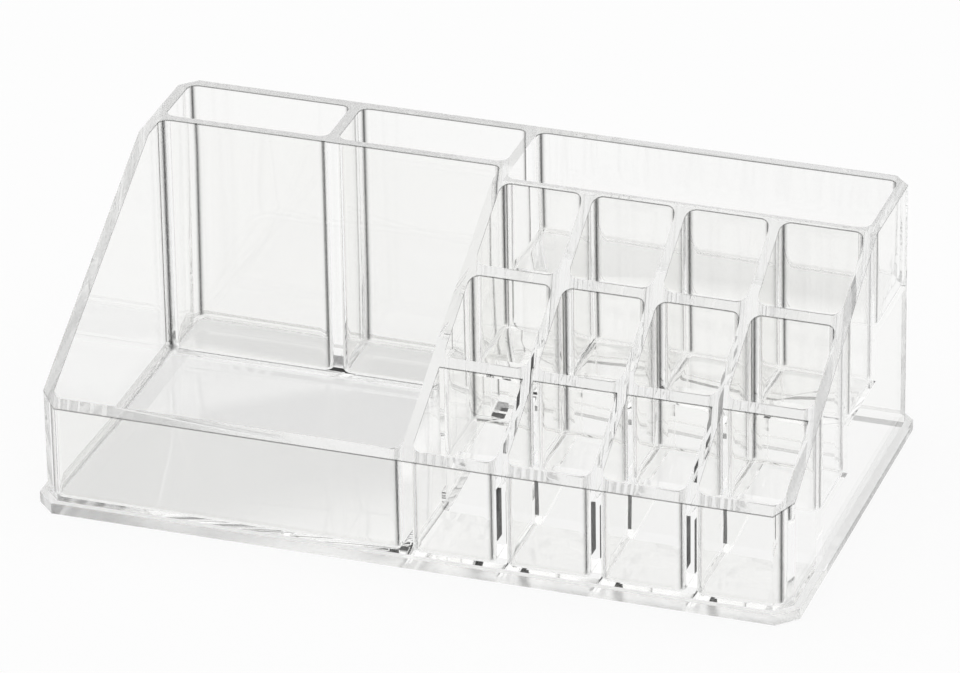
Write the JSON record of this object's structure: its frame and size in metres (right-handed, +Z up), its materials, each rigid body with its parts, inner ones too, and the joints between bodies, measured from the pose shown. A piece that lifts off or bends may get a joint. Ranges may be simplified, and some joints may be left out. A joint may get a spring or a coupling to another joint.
{
  "type": "vanity organizer",
  "caption": "Clear stepped vanity organizer with an open tray, tall rear bins, rising rows of square pockets and a long rear trough on a flat base rim.",
  "frame": {"origin": "middle of the underside, on the surface that the organizer stands on", "axes": "+X along the width towards the pockets, +Y from the front to the back, +Z up"},
  "size_m": [0.22, 0.1222, 0.0775],
  "materials": {
    "clear_plastic": "clear, colourless and glossy, as moulded"
  },
  "bodies": {
    "root": {"base_rim_front": "clear_plastic", "base_rim_back": "clear_plastic", "base_rim_left": "clear_plastic", "base_rim_right": "clear_plastic", "left_side_wall": "clear_plastic", "right_side_wall": "clear_plastic", "back_wall": "clear_plastic", "tray_front_wall": "clear_plastic", "tray_floor": "clear_plastic", "bin_front_wall": "clear_plastic", "bin_divider": "clear_plastic", "left_bin_floor": "clear_plastic", "right_bin_floor": "clear_plastic", "centre_partition": "clear_plastic", "pocket_partition_1": "clear_plastic", "pocket_partition_2": "clear_plastic", "pocket_partition_3": "clear_plastic", "trough_front_wall": "clear_plastic", "trough_floor": "clear_plastic", "pocket_wall_r1_c1": "clear_plastic", "pocket_wall_r1_c2": "clear_plastic", "pocket_wall_r1_c3": "clear_plastic", "pocket_wall_r1_c4": "clear_plastic", "pocket_wall_r2_c1": "clear_plastic", "pocket_wall_r2_c2": "clear_plastic", "pocket_wall_r2_c3": "clear_plastic", "pocket_wall_r2_c4": "clear_plastic", "pocket_wall_r3_c1": "clear_plastic", "pocket_wall_r3_c2": "clear_plastic", "pocket_wall_r3_c3": "clear_plastic", "pocket_wall_r3_c4": "clear_plastic", "pocket_floor_r1_c1": "clear_plastic", "pocket_floor_r1_c2": "clear_plastic", "pocket_floor_r1_c3": "clear_plastic", "pocket_floor_r1_c4": "clear_plastic", "pocket_floor_r2_c1": "clear_plastic", "pocket_floor_r2_c2": "clear_plastic", "pocket_floor_r2_c3": "clear_plastic", "pocket_floor_r2_c4": "clear_plastic", "pocket_floor_r3_c1": "clear_plastic", "pocket_floor_r3_c2": "clear_plastic", "pocket_floor_r3_c3": "clear_plastic", "pocket_floor_r3_c4": "clear_plastic"}
  },
  "joints": []
}
